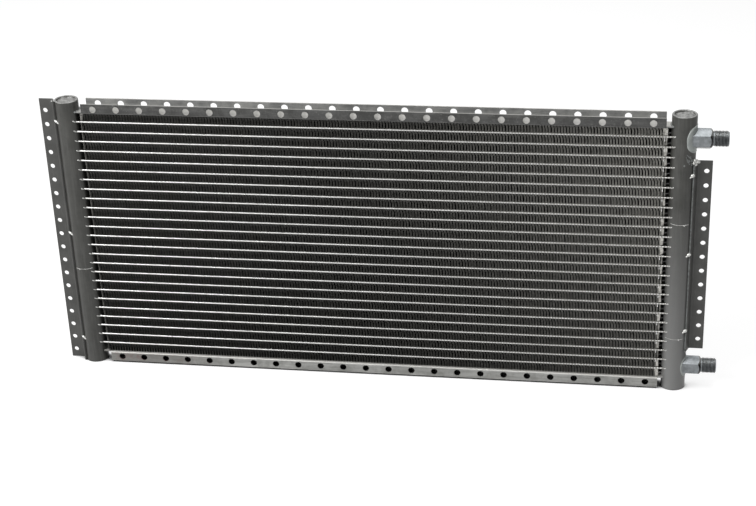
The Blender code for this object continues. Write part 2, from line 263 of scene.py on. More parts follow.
def rolled_channel_metal():
    """Bare rolled aluminium sheet, streaked by handling and darker outside, with painted light inside the
    upper channel and painted shade inside the lower one.
    """
    material, shader, place = new_material("dull rolled aluminium sheet", 0.42, 0.45)
    where = axes(place)
    streaks = cloud(stretched(place, (0.06, 1.0, 1.0)), 300.0, 6.0, 0.7)
    patches = cloud(place, 45.0, 6.0, 0.7)
    specks = cloud(place, 420.0, 6.0, 0.75)
    inside = tint(band(streaks, 0.3, 0.72), "#707171", "#969695")
    inside = tint(band(patches, 0.42, 0.68, 0.0, 0.6), inside, "#B4B4B1")
    outside = tint(band(streaks, 0.3, 0.72), "#404040", "#626260")
    outside = tint(band(patches, 0.45, 0.6, 0.0, 0.7), outside, "#343432")
    outside = tint(band(specks, 0.58, 0.68, 0.0, 0.6), outside, "#8F8F8B")
    # Painted light: faces that look up, such as the web that the row of front holes shows, are painted
    # almost white as if lit from above
    upper = band(facing_up(shader), 0.5, 0.8)
    inside = tint(upper, inside, "#ADACA8")
    depth = math_node("ABSOLUTE", where["Y"])
    skin = band(depth, 11.1 * MM, 11.35 * MM)
    # Painted light: the inner faces take the paler colour, standing in for light bounced about inside the
    # channel
    base = tint(skin, inside, outside)
    # The lower channel's outer faces are paler than the upper one's
    lower = band(where["Z"], 0.02, 0.03, 1.0, 0.0)
    pale = tint(band(streaks, 0.34, 0.66), "#888885", "#B0B0AD")
    pale = tint(band(patches, 0.45, 0.62, 0.0, 0.6), pale, "#747470")
    # Painted shade: its trough is painted black, a dark rust red at the left end, where rust-red splashes
    # stain the outer faces
    left = band(where["X"], -0.3, -0.2, 1.0, 0.0)
    spots = band(cloud(place, 110.0, 6.0, 0.7), 0.5, 0.62)
    rust = product(left, spots)
    trough = tint(left, "#121212", "#4A1A1C")
    pale = tint(product(left, 0.55), pale, "#65625E")
    pale = tint(product(rust, 0.35), pale, "#6E4642")
    # Painted light: its up-facing faces, the web's top edge among them, are painted near white as if lit
    # from above
    pale = tint(upper, pale, "#C4C3BF")
    # Its web counts as outside too
    skin = math_node("MAXIMUM", skin, band(where["Z"], 12.4 * MM, 13.1 * MM))
    base = tint(lower, base, tint(skin, trough, pale))
    paint(shader, base, band(streaks, 0.3, 0.7, 0.34, 0.52))
    bump(shader, streaks, 0.05 * MM, 0.5)
    return material


def extruded_tube_metal():
    """Extruded aluminium: bright bare edges, and flats painted dark as the shade between the fins."""
    material, shader, place = new_material("extruded aluminium, bright", 0.3, 0.7)
    lines = cloud(stretched(place, (0.02, 1.0, 1.0)), 1600.0, 3.0)
    stains = cloud(stretched(place, (0.5, 1.0, 1.0)), 160.0, 5.0, 0.7)
    bright = tint(band(lines, 0.35, 0.7), "#CDCDCB", "#ECECEA")
    bright = tint(band(stains, 0.5, 0.72, 0.0, 0.5), bright, "#9C9B96")
    where = axes(place)
    # Fillets of braze at each fold of the fins speckle the edge, most of all towards the ports
    uneven = {"Distortion": 1.5, "Detail": 2.0, "Detail Scale": 60.0}
    speckle = stripes(place, FIN_WAVE_MM * MM, "X", uneven)
    speckle = band(speckle, 0.2, 0.9, 0.2, 0.95)
    dull = product(speckle, band(where["X"], -0.1, 0.3, 0.15, 1.0))
    bright = tint(dull, bright, "#85837D")
    # Painted shade: the flats are painted dark, and only the front and back edges keep the bright metal
    bare = band(math_node("ABSOLUTE", where["Y"]), 6.6 * MM, 7.4 * MM)
    base = tint(bare, "#33322F", bright)
    paint(shader, base, band(stains, 0.4, 0.7, 0.26, 0.42))
    bump(shader, lines, 0.02 * MM, 0.4)
    return material


def folded_fin_metal():
    """Thin fin stock with louvres cut across each leg, painted dark deep between the tubes as shade and pale
    on its front lips as highlight.
    """
    material, shader, place = new_material("fin stock with painted shade and highlights", 0.5, 0.85)
    soot = cloud(place, 140.0, 6.0, 0.75)
    front = tint(band(soot, 0.35, 0.7), "#B2B1AA", "#D8D6CF")
    deep = tint(band(soot, 0.35, 0.7), "#2A2A29", "#3C3C3A")
    where = axes(place)
    depth = math_node("ABSOLUTE", where["Y"])
    # Painted highlight: the front lips are painted pale, most towards the upper port and the top, and stay
    # dark at the other end
    near = band(where["X"], -0.12, 0.34)
    near = band(product(near, near), 0.0, 1.0, 0.22, 1.0)
    near = product(near, band(where["Z"], 0.02, 0.28, 0.5, 1.0))
    painted_lip_light = product(band(depth, 6.7 * MM, 7.7 * MM), near)
    # Painted shade: behind them the fin is painted darkest where the lips are palest
    deep = tint(product(near, 0.85), deep, "#0F0F0E")
    base = tint(painted_lip_light, deep, front)
    paint(shader, base)
    louvres = stripes(place, LOUVRE_PITCH, "Y", {"Distortion": 0.0, "Detail": 0.0})
    bump(shader, louvres, 0.25 * MM, 0.8)
    return material


def bare_fin_metal():
    """Fin stock where it was cut and bent: bare, bright and crinkled."""
    return patchy_metal(
        "bare bent fin stock", 0.36, 0.5, (300.0, 5.0, 0.7), (0.35, 0.65), ("#A19F9A", "#E0DED7"),
        (700.0, 4.0, 0.2, 0.7))


def machined_fitting_metal():
    """Aluminium bar, turned and milled, with faint tool lines round its axis."""
    material, shader, place = new_material("machined aluminium bar", 0.34, 0.55)
    rings = cloud(stretched(place, (1.0, 0.04, 0.04)), 2600.0, 2.0)
    patches = cloud(place, 150.0, 4.0)
    base = tint(band(patches, 0.35, 0.7), "#6E7274", "#93979A")
    paint(shader, base, band(patches, 0.3, 0.7, 0.28, 0.42))
    bump(shader, rings, 0.02 * MM, 0.5)
    return material


def dark_thread_metal():
    """The same bar where the thread was cut, painted dark on its underside as shade."""
    material, shader, place = new_material("cut aluminium thread", 0.36, 0.9)
    patches = cloud(place, 240.0, 4.0)
    base = tint(band(patches, 0.35, 0.7), "#666764", "#90918C")
    # Painted shade: the underside is painted almost black
    base = tint(band(facing_up(shader), 0.3, 0.75), "#111110", base)
    paint(shader, base)
    return material


def weld_metal():
    """Aluminium weld bead: bright, rippled and sooty in patches."""
    return patchy_metal(
        "aluminium weld bead", 0.3, 0.6, (320.0, 4.0), (0.4, 0.7), ("#DADAD7", "#979793"),
        (900.0, 3.0, 0.15, 0.8))


def dull_weld_metal():
    """Weld and braze metal under the grey coat, matte and uneven."""
    return patchy_metal(
        "coated weld metal", 0.5, 0.25, (260.0, 5.0), (0.35, 0.7), ("#5C5E5D", "#8C8F8E"),
        (700.0, 4.0, 0.2, 0.7))


def saddle_metal():
    """The port's saddle: bare aluminium smoothed by welding heat, a pale greenish grey."""
    return patchy_metal(
        "heat washed aluminium", 0.4, 0.3, (120.0, 4.0), (0.35, 0.7), ("#999E9C", "#B1B6B3"),
        (350.0, 3.0, 0.12, 0.5))


MATERIAL_MAKERS = {
    "header": coated_header_metal,
    "header_end": rubbed_end_metal,
    "bracket": coated_bracket_metal,
    "channel": rolled_channel_metal,
    "tube": extruded_tube_metal,
    "fin": folded_fin_metal,
    "bare_fin": bare_fin_metal,
    "fitting": machined_fitting_metal,
    "thread": dark_thread_metal,
    "weld": weld_metal,
    "dull_weld": dull_weld_metal,
    "saddle": saddle_metal,
}
made_materials = {}


def material_for(finish):
    if finish not in made_materials:
        made_materials[finish] = MATERIAL_MAKERS[finish]()
    return made_materials[finish]


# Mesh helpers


def face_out(bm):
    bmesh.ops.recalc_face_normals(bm, faces=bm.faces)


def add_object(name, data):
    """An object at the origin that shows a mesh, a lamp or a camera."""
    obj = bpy.data.objects.new(name, data)
    bpy.context.scene.collection.objects.link(obj)
    return obj


def finish_piece(name, bm, finish, replaced=(), smooth=35.0, second=None):
    """Turns a bmesh into a piece that rides on the coil; second is the finish of its marked faces."""
    face_out(bm)
    for vertex in bm.verts:
        vertex.co.y = max(min(vertex.co.y, HEADER_FRONT), -HEADER_FRONT)
    mesh = bpy.data.meshes.new(name)
    bm.to_mesh(mesh)
    bm.free()
    if smooth:
        mesh.shade_smooth()
        mesh.set_sharp_from_angle(angle=math.radians(smooth))
    mesh.materials.append(material_for(finish))
    if second:
        mesh.materials.append(material_for(second))
    piece = add_object(name, mesh)
    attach(piece, "root")
    if replaced:
        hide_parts(*replaced)


def extrude_outline(bm, outline, along):
    """A flat outline swept along a vector, with both ends closed."""
    face = bm.faces.new([bm.verts.new(point) for point in outline])
    swept = bmesh.ops.extrude_face_region(bm, geom=[face])["geom"]
    bmesh.ops.translate(bm, verts=[v for v in swept if isinstance(v, bmesh.types.BMVert)], vec=along)


def turn_profile(bm, profile, origin, axis, steps):
    """A closed turned solid; the profile gives (distance along the axis, radius), axis to axis."""
    along = Vector(axis)
    side = along.orthogonal().normalized()
    base = Vector(origin)
    points = [bm.verts.new(base + along * distance + side * radius) for distance, radius in profile]
    edges = [bm.edges.new(pair) for pair in zip(points, points[1:])]
    bmesh.ops.spin(
        bm, geom=points + edges, axis=along, cent=base, angle=math.tau, steps=steps, use_merge=True)
    bmesh.ops.remove_doubles(bm, verts=bm.verts, dist=MERGE_DISTANCE)


def widen(bm, edges):
    """Extrudes edges in place; gives the new vertices and the edges between them."""
    swept = bmesh.ops.extrude_edge_only(bm, edges=edges)["geom"]
    moved = {item for item in swept if isinstance(item, bmesh.types.BMVert)}
    edges = [item for item in swept if isinstance(item, bmesh.types.BMEdge) and moved.issuperset(item.verts)]
    return moved, edges


def arc(centre, radius, start, end, steps):
    """Points on an arc in a plane, both ends included, angles in degrees."""
    angles = [math.radians(start + (end - start) * step / steps) for step in range(steps + 1)]
    return [(centre[0] + radius * math.cos(a), centre[1] + radius * math.sin(a)) for a in angles]


def combine(body, tool, operation):
    """One bmesh cut by another, or met with it, by an exact Boolean; both are used up."""
    parts = []
    for name, shape in (("boolean_body", body), ("boolean_tool", tool)):
        mesh = bpy.data.meshes.new(name)
        shape.to_mesh(mesh)
        shape.free()
        parts.append(add_object(name, mesh))
    modifier = parts[0].modifiers.new("boolean", "BOOLEAN")
    modifier.operation = operation
    modifier.object = parts[1]
    result = bmesh.new()
    result.from_object(parts[0], bpy.context.evaluated_depsgraph_get())
    for obj in parts:
        mesh = obj.data
        bpy.data.objects.remove(obj, do_unlink=True)
        bpy.data.meshes.remove(mesh)
    return result


def cut_holes(bm, places, radius, reach, sides):
    """Round holes along Y through everything in the bmesh."""
    drill = bmesh.new()
    for x, z in places:
        matrix = Matrix.Translation((x, 0, z)) @ Matrix.Rotation(math.pi / 2, 4, "X")
        bmesh.ops.create_cone(
            drill, cap_ends=True, segments=sides, radius1=radius, radius2=radius, depth=2 * reach,
            matrix=matrix)
    return combine(bm, drill, "DIFFERENCE")


def row(count, pitch, middle):
    """Evenly spaced places about a middle."""
    return [middle + (index - (count - 1) / 2) * pitch for index in range(count)]


def beside_header(axis, side, angle, reach, z):
    """A point round a header: side is 1 or -1, and the angle in degrees turns from there to the front."""
    turn = math.radians(angle)
    return Vector((axis + side * reach * math.cos(turn), -reach * math.sin(turn), z))


def tube_outline(low, high, middle, steps):
    """A flat tube's section in Y and Z, with that many facets round each edge."""
    radius = (high.z - low.z) / 2
    front = arc((low.y + radius, middle), radius, 90, 270, steps)
    return front + arc((high.y - radius, middle), radius, -90, 90, steps)


def drop(bm, place, along, normal, size):
    """One smooth drop of metal lying on a surface: its half length, half height and half width."""
    along = Vector(along).normalized()
    normal = Vector(normal).normalized()
    across = normal.cross(along)
    turn = Matrix((along, normal, across)).transposed().to_4x4()
    matrix = Matrix.Translation(place) @ turn @ Matrix.Diagonal((*size, 1.0))
    bmesh.ops.create_icosphere(bm, subdivisions=2, radius=1.0, matrix=matrix)


def weld_bead(bm, points, radius, seed):
    """A lumpy bead along a line of points: a chain of overlapping balls."""
    for index, point in enumerate(points):
        swell = 1.0 + 0.25 * noise.noise(Vector((index * 1.7, seed, 0.3)))
        matrix = Matrix.Translation(point) @ Matrix.Scale(radius * swell, 4)
        bmesh.ops.create_icosphere(bm, subdivisions=2, radius=1.0, matrix=matrix)


# Settings


def length(name, description, default, low, high):
    """A length setting, given in millimetres."""
    return FloatProperty(
        name=name, description=description, default=default * MM, min=low * MM, max=high * MM, unit="LENGTH")


def colour(name, description, default):
    return FloatVectorProperty(
        name=name, description=description, subtype="COLOR", default=default, min=0.0, max=1.0)


class CoilSizes(PropertyGroup):
    fin_wave: length("Fin wave", "Length of one whole fold of the fin strip", FIN_WAVE_MM, 1.5, 20)
    fin_sheet: length("Fin sheet", "Thickness of the fin stock", 0.22, 0.05, 0.5)
    fin_sweep: length("Fin sweep", "How far the strip leans sideways at mid-depth", -2.9, -4, 4)
    header_wall: length("Header wall", "Wall thickness shown at the headers' rims", 2.7, 0.8, 4)
    channel_sheet: length("Channel sheet", "Thickness of the side channels' sheet", 1.5, 0.8, 3)
    channel_hole: length("Channel hole", "Diameter of the holes in the side channels", 8.2, 2, 10)
    bracket_hole: length("Bracket hole", "Diameter of the holes in the mounting brackets", 6.0, 2, 9)
    thread_pitch: length("Thread pitch", "Distance from one thread crest to the next", 1.5875, 0.8, 3)
    round_steps: IntProperty(
        name="Round steps", description="Facets round a header", default=72, min=24, max=128)


class CoilColours(PropertyGroup):
    floor: colour("Floor", "Colour of the studio floor", linear("#A4A4A4")[:3])
    backdrop: colour("Backdrop", "Colour behind the coil", (1.0, 1.0, 1.0))


# Pieces of the core


FIN_END_GAP = 3.0 * MM


def fin_wave(sizes, low, high, seed):
    """One strip as points in X and Z: narrow bowed arches with wide valleys between them."""
    span = high.x - low.x - FIN_END_GAP
    count = max(2, round(span / sizes.fin_wave))
    pitch = span / count
    rise = (high.z - low.z) / 2 - sizes.fin_sheet / 2
    middle = (high.z + low.z) / 2
    points = []
    for index in range(count):
        # No two folds of the real strip are quite alike
        drift = 0.09 * pitch * noise.noise(Vector((index * 0.9, seed * 3.1, 0.5)))
        half = pitch * (0.13 + 0.04 * noise.noise(Vector((index * 0.7, seed * 1.3, 8.5))))
        crest = low.x + (index + 0.5) * pitch + drift
        bow = [(0.06 * pitch, -1.0), (0.14 * pitch, -0.4), (0.07 * pitch, 0.3), (-0.2 * pitch, 0.85)]
        left = [(x - half, level) for x, level in bow] + [(-0.6 * half - 0.28 * pitch, 1.0)]
        right = [(0.4 * half - 0.24 * pitch, 1.0)] + [(x + half, level) for x, level in reversed(bow)]
        points += [(crest + x, middle + rise * level) for x, level in left + right]
    return points


def fin_strip(sizes, node, seed):
    low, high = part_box(node)
    bm = bmesh.new()
    line = [bm.verts.new((x, low.y, z)) for x, z in fin_wave(sizes, low, high, seed)]
    edges = [bm.edges.new(pair) for pair in zip(line, line[1:])]
    for sweep in (sizes.fin_sweep, -sizes.fin_sweep):
        moved, edges = widen(bm, edges)
        bmesh.ops.translate(bm, verts=list(moved), vec=(sweep, (high.y - low.y) / 2, 0))
    for vertex in bm.verts:
        vertex.co.x = max(vertex.co.x, low.x)
    bmesh.ops.solidify(bm, geom=bm.faces[:], thickness=sizes.fin_sheet)
    return bm


class COIL_OT_fins(Operator):
    """Folded fin strips between the tubes"""

    bl_idname = "coil.fins"
    bl_label = "Fin strips"

    def execute(self, context):
        for seed, node in enumerate(FINS):
            bm = fin_strip(context.scene.coil_sizes, node, seed)
            finish_piece(node.replace("strip", "wave"), bm, "fin", [node], smooth=0)
        return {"FINISHED"}


LEG_SHEET = 0.2 * MM
LEG_REAR_INSET = 3.4 * MM
LEG_REAR_REACH = 13.9 * MM


def leg_flap(bm, x, width, low, high, seed):
    """A bent tab of fin sheet between two tubes; x is its free edge."""
    made = bmesh.ops.create_grid(bm, x_segments=3, y_segments=4, size=0.5)["verts"]
    for vertex in made:
        across, along = vertex.co.x, vertex.co.y
        ripple = noise.noise(Vector((along * 2.3, across, seed * 1.7)))
        vertex.co.x = x + (across - 0.5) * width + ripple * 0.22 * width
        vertex.co.y = low.y + (0.7 + 0.5 * (0.5 - along) - 0.7 * ripple + 1.3 * (across + 0.5)) * MM
        vertex.co.z = (low.z + high.z) / 2 + along * (high.z - low.z - 0.3 * MM)


class COIL_OT_fin_ends(Operator):
    """The cut last legs of the fin strips, turned to the front and bent by handling"""

    bl_idname = "coil.fin_ends"
    bl_label = "Fin end legs"

    def execute(self, context):
        rng = random.Random(7)
        bm = bmesh.new()
        rear = bmesh.new()
        for number, node in enumerate(FINS):
            low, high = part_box(node)
            right = 5.4 * MM if number == 0 else rng.uniform(1.2, 4.2) * MM
            left = 2.4 * MM if number == 0 else rng.uniform(0.5, 1.1) * MM
            leg_flap(bm, high.x - 0.3 * MM, right, low, high, number)
            leg_flap(bm, low.x + left, left, low, high, number + 50)
            # At the back the last legs are spread until they touch the headers; in the fins' painted-dark
            # finish they close the gap there as painted shade
            for x, header in (
                (high.x - LEG_REAR_INSET, RIGHT_AXIS - LEG_REAR_REACH),
                (low.x + LEG_REAR_INSET, LEFT_AXIS + LEG_REAR_REACH),
            ):
                edge = rear.edges.new([rear.verts.new((x, 1.5 * MM, z)) for z in (low.z, high.z)])
                moved, _ = widen(rear, [edge])
                bmesh.ops.translate(rear, verts=list(moved), vec=(header - x, 2.6 * MM, 0))
        for name, legs, finish, smooth in (
            ("fin_end_legs", bm, "bare_fin", 40), ("fin_rear_legs", rear, "fin", 0),
        ):
            bmesh.ops.solidify(legs, geom=legs.faces[:], thickness=LEG_SHEET)
            finish_piece(name, legs, finish, smooth=smooth)
        return {"FINISHED"}


class COIL_OT_tubes(Operator):
    """Flat tubes with round edges"""

    bl_idname = "coil.tubes"
    bl_label = "Flat tubes"

    def execute(self, context):
        for node in TUBES:
            low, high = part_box(node)
            bm = bmesh.new()
            outline = [(low.x, y, z) for y, z in tube_outline(low, high, (low.z + high.z) / 2, 8)]
            extrude_outline(bm, outline, (high.x - low.x, 0, 0))
            finish_piece(node.replace("flat", "round_edged"), bm, "tube", [node])
        return {"FINISHED"}


NOSE_ANGLE = 40


def collar(bm, node, axis, inwards):
    """A skirt that runs from the header's skin out along the tube."""
    low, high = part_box(node)
    middle = (low.z + high.z) / 2
    ring = [bm.verts.new((0, y, z)) for y, z in tube_outline(low, high, 0, 6)]
    edges = [bm.edges.new(pair) for pair in zip(ring, ring[1:] + ring[:1])]
    loops = [ring]
    for _ in range(2):
        moved, edges = widen(bm, edges)
        loops.append(moved)
    for loop, (spread, lift) in zip(loops, ((1.3, 0.05), (1.1, 0.3), (1.0, 0.8))):
        for vertex in loop:
            skin = math.sqrt(max(HEADER_RADIUS**2 - vertex.co.y**2, 0.0))
            vertex.co.x = axis + inwards * (skin + lift * MM)
            vertex.co.z = middle + vertex.co.z * spread


class COIL_OT_braze(Operator):
    """Braze fillets round the tubes and the bright drops at their front edges"""

    bl_idname = "coil.braze"
    bl_label = "Braze fillets"

    def execute(self, context):
        turn = math.radians(NOSE_ANGLE)
        for name, axis, inwards in (("left", LEFT_AXIS, 1), ("right", RIGHT_AXIS, -1)):
            skirts = bmesh.new()
            noses = bmesh.new()
            normal = beside_header(0, inwards, NOSE_ANGLE, 1.0, 0)
            along = (-inwards * math.sin(turn), -math.cos(turn), 0.55)
            for node in TUBES:
                collar(skirts, node, axis, inwards)
                height = middle_of(node).z + 0.7 * MM
                place = beside_header(axis, inwards, NOSE_ANGLE, HEADER_RADIUS - 0.3 * MM, height)
                drop(noses, place, along, normal, (3.1 * MM, 0.85 * MM, 0.95 * MM))
            bmesh.ops.solidify(skirts, geom=skirts.faces[:], thickness=0.08 * MM)
            finish_piece(f"{name}_braze_skirts", skirts, "tube", smooth=60)
            finish_piece(f"{name}_braze_drops", noses, "weld", smooth=60)
        return {"FINISHED"}


# Headers


def header_profile(wall):
    """From the cap's middle, out over the weld and the rim, to the outer skin."""
    outer = HEADER_RADIUS
    inner = outer - wall
    cap = ((-1.1, 0.0), (-1.1, 0.22), (-1.1, 0.44), (-1.2, 0.6), (-1.5, 0.74), (-2.4, 0.84), (-2.7, 0.9),
           (-2.2, 0.97), (-0.7, 1.0))
    rim = ((-0.2, inner + 0.3 * MM), (0.0, inner + 0.8 * MM), (0.0, outer - 1.3 * MM),
           (-0.15, outer - 0.7 * MM), (-0.6, outer - 0.2 * MM), (-1.3, outer))
    return [(rise * MM, inner * part) for rise, part in cap] + [(rise * MM, radius) for rise, radius in rim]


class COIL_OT_headers(Operator):
    """Round headers with rolled rims and recessed, welded end caps"""

    bl_idname = "coil.headers"
    bl_label = "Headers"

    def execute(self, context):
        sizes = context.scene.coil_sizes
        for side, axis in (("left", LEFT_AXIS), ("right", RIGHT_AXIS)):
            half = header_profile(sizes.header_wall)
            top = [(HEADER_TOP + rise, radius) for rise, radius in half]
            bottom = [(-rise, radius) for rise, radius in reversed(half)]
            bm = bmesh.new()
            turn_profile(bm, top + bottom, (axis, 0, 0), (0, 0, 1), sizes.round_steps)
            for vertex in bm.verts:
                reach = math.hypot(vertex.co.x - axis, vertex.co.y)
                if reach < 0.8 * HEADER_RADIUS:
                    # The cap is dished unevenly and the hand-laid weld round it is lumpy
                    lump = 1.5 * noise.noise(vertex.co * 190.0) + 0.4 * noise.noise(vertex.co * 520.0)
                    lump = max(min(lump, 0.9), -1.3) * MM
                    vertex.co.z += lump if vertex.co.z > MIDDLE_Z else -lump
                vertex.co.y *= HEADER_FRONT / HEADER_RADIUS
            face_out(bm)
            for face in bm.faces:
                face.material_index = 1 if abs(face.normal.z) > 0.3 else 0
            name = f"{side}_round_header"
            finish_piece(name, bm, "header", [f"{side}_header"], smooth=50, second="header_end")
        return {"FINISHED"}


class COIL_OT_baffle_marks(Operator):
    """Slits brazed shut where the baffles were put into the headers"""

    bl_idname = "coil.baffle_marks"
    bl_label = "Baffle marks"

    def execute(self, context):
        pitch = middle_of(TUBES[0]).z - middle_of(TUBES[1]).z
        reach = HEADER_RADIUS - 0.05 * MM
        bm = bmesh.new()
        for count, axis, outwards in ((9, RIGHT_AXIS, 1), (16, LEFT_AXIS, -1), (21, RIGHT_AXIS, 1)):
            # A thin raised line across the front, and one dot past the middle
            z = middle_of(TUBES[0]).z - (count - 0.5) * pitch
            points = [beside_header(axis, outwards, angle, reach, z) for angle in range(140, 49, -2)]
            weld_bead(bm, points, 0.33 * MM, seed=float(count))
            dot = beside_header(axis, outwards, 72, reach, z - 0.6 * MM)
            drop(bm, dot, (1, 0, -1), (0, -1, 0), (1.3 * MM, 0.7 * MM, 0.8 * MM))
        finish_piece("baffle_marks", bm, "weld")
        return {"FINISHED"}


# Side channels


CHANNEL_HOLES = 24
CHANNEL_HOLE_PITCH = 28.8 * MM
CHANNEL_HOLE_HEIGHT = 6.0 * MM
CHANNEL_BEND = 0.5 * MM
CHANNEL_EDGE = 0.25 * MM
CHANNEL_TONGUE = 8.0 * MM
# Each channel is shorter than the fins and sits a little to the right of their middle
CHANNEL_SHORTER = 5.2 * MM
CHANNEL_SHIFTS = {"top_side_channel": 0.5 * MM, "bottom_side_channel": 2.0 * MM}


def channel_outline(half, depth, sheet):
    """The folded section, flanges up from its underside."""
    outer = CHANNEL_BEND + sheet
    centre = (half - outer, outer)
    edge = CHANNEL_EDGE
    lip = half - sheet
    tip = [(half, depth - edge), (half - edge, depth), (lip + edge, depth), (lip, depth - edge)]
    right = arc(centre, outer, -90, 0, 6) + tip + arc(centre, CHANNEL_BEND, 0, -90, 4)
    return right + [(-y, z) for y, z in reversed(right)]


def tongue(bm, x, axis, seat, rise):
    """The web's narrow end, which reaches the header and follows its curve."""
    towards = 1 if axis > x else -1
    outline = [(x, -CHANNEL_TONGUE, seat), (x, CHANNEL_TONGUE, seat)]
    for y in row(11, -CHANNEL_TONGUE / 5, 0.0):
        skin = math.sqrt((HEADER_RADIUS + 0.1 * MM) ** 2 - y * y)
        outline.append((axis - towards * skin, y, seat))
    extrude_outline(bm, outline, (0, 0, rise))


class COIL_OT_channels(Operator):
    """Folded side channels with their rows of holes"""

    bl_idname = "coil.channels"
    bl_label = "Side channels"

    def execute(self, context):
        sizes = context.scene.coil_sizes
        fin_low, fin_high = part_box(FINS[0])
        span = fin_high.x - fin_low.x - CHANNEL_SHORTER
        for node, shift in CHANNEL_SHIFTS.items():
            low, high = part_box(node)
            seat, sign = (low.z, 1) if node.startswith("top") else (high.z, -1)
            start = (low.x + high.x) / 2 + shift - span / 2
            half = (high.y - low.y) / 2
            section = channel_outline(half, high.z - low.z, sizes.channel_sheet)
            bm = bmesh.new()
            extrude_outline(bm, [(start, y, seat + sign * z) for y, z in section], (span, 0, 0))
            face_out(bm)
            height = seat + sign * CHANNEL_HOLE_HEIGHT
            places = [(x, height) for x in row(CHANNEL_HOLES, CHANNEL_HOLE_PITCH, start + span / 2)]
            bm = cut_holes(bm, places, sizes.channel_hole / 2, half + 2 * MM, 28)
            for x, axis in ((start + 1 * MM, LEFT_AXIS), (start + span - 1 * MM, RIGHT_AXIS)):
                tongue(bm, x, axis, seat, sign * sizes.channel_sheet)
            finish_piece(node.replace("side", "folded"), bm, "channel", [node])
        return {"FINISHED"}


# Brackets


BRACKET_SHEET = 2.0 * MM
BRACKET_BEND = 2.5 * MM
BRACKET_WRAP = 38
BRACKET_HOLE_PITCH = 18.3 * MM
BRACKET_HOLE_INSET = 6.5 * MM
BRACKET_ROW_DROP = 2.0 * MM


def bracket_outline(reach):
    """Plan of the right bracket from the header's axis: leg, fold and flange."""
    sheet, bend = BRACKET_SHEET, BRACKET_BEND
    inner = HEADER_RADIUS + 0.3 * MM
    outer = inner + sheet
    fold = outer + bend
    lean = math.asin((bend + sheet / 2) / fold)
    centre = (fold * math.cos(lean), -fold * math.sin(lean))
    lean = math.degrees(lean)
    leg_in = arc((0, 0), inner, -lean, -BRACKET_WRAP, 8)
    leg_out = arc((0, 0), outer, -BRACKET_WRAP, -lean, 8)
    front = arc(centre, bend, 180 - lean, 90, 8)
    back = arc(centre, bend + sheet, 90, 180 - lean, 8)
    edge = 0.3 * MM
    half = sheet / 2
    tip = [(reach - edge, -half), (reach, edge - half), (reach, half - edge), (reach - edge, half)]
    return leg_in + leg_out[:-1] + front + tip + back[:-1]


class COIL_OT_brackets(Operator):
    """Mounting brackets rolled round the headers and folded out"""

    bl_idname = "coil.brackets"
    bl_label = "Mounting brackets"

    def execute(self, context):
        sizes = context.scene.coil_sizes
        for side, axis, sign, count in (("left", LEFT_AXIS, -1, 19), ("right", RIGHT_AXIS, 1, 13)):
            node = f"{side}_mounting_bracket"
            low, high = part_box(node)
            reach = (high.x - axis) if sign > 0 else (axis - low.x)
            bm = bmesh.new()
            outline = [(axis + sign * x, y, low.z) for x, y in bracket_outline(reach)]
            extrude_outline(bm, outline, (0, 0, high.z - low.z))
            face_out(bm)
            x = axis + sign * (reach - BRACKET_HOLE_INSET)
            places = [(x, z) for z in row(count, BRACKET_HOLE_PITCH, MIDDLE_Z - BRACKET_ROW_DROP)]
            bm = cut_holes(bm, places, sizes.bracket_hole / 2, 2.5 * MM, 24)
            face_out(bm)
            for face in bm.faces:
                # The right one's sheared edge, where its leg ends on the header, is dull
                middle = face.calc_center_median()
                lean = math.degrees(math.atan2(middle.y, sign * (middle.x - axis)))
                sheared = sign > 0 and abs(lean + BRACKET_WRAP) < 0.5 and abs(face.normal.z) < 0.1
                face.material_index = 1 if sheared else 0
            finish_piece(f"{side}_folded_bracket", bm, "bracket", [node], second="dull_weld")
        return {"FINISHED"}


class COIL_OT_tack_welds(Operator):
    """Bright weld drops that hold the brackets to the headers"""

    bl_idname = "coil.tack_welds"
    bl_label = "Tack welds"

    def execute(self, context):
        bm = bmesh.new()
        for axis, sign, heights, size in (
            (LEFT_AXIS, -1, (152.0, 3.8, -143.9), (3.6, 1.8, 1.6)),
            (RIGHT_AXIS, 1, (105.3, 4.6, -96.7), (3.0, 2.2, 2.5)),
        ):
            along = (sign * 0.75, 0.35, 0.5)
            for height in heights:
                # Each drop climbs from the header's skin across the groove to the bracket's leg
                place = beside_header(axis, sign, 41, HEADER_RADIUS + 0.9 * MM, MIDDLE_Z + height * MM)
                drop(bm, place, along, (sign * 0.5, -0.86, 0.2), [part * MM for part in size])
                foot = place - Vector((sign * 2.2, 1.2, 1.6)) * MM
                drop(bm, foot, along, (sign * 0.5, -0.86, 0), (1.7 * MM, 1.0 * MM, 1.1 * MM))
        place = (LEFT_AXIS - 14.0 * MM, -5.0 * MM, HEADER_TOP - 1.4 * MM)
        drop(bm, place, (1, -0.5, 0), (0, 0, 1), (4.2 * MM, 1.3 * MM, 2.2 * MM))
        # A lump of weld in the right bracket's upper inner corner joins it to the header
        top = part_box("right_mounting_bracket")[1].z
        for x, y, rise, size in (
            (13.6, -8.8, 3.2, (2.6, 1.7, 2.4)), (15.6, -7.0, 1.6, (3.0, 2.0, 2.6)),
            (17.4, -5.4, 0.2, (2.8, 1.8, 2.0)), (12.4, -9.8, 0.4, (1.9, 1.3, 2.2)),
            (14.6, -7.6, -1.8, (2.2, 1.6, 2.4)),
        ):
            place = (RIGHT_AXIS + x * MM, y * MM, top + rise * MM)
            drop(bm, place, (0.8, 0.5, -0.3), (0.5, -0.8, 0.3), [part * MM for part in size])
        finish_piece("tack_weld_drops", bm, "weld")
        return {"FINISHED"}


# Fittings


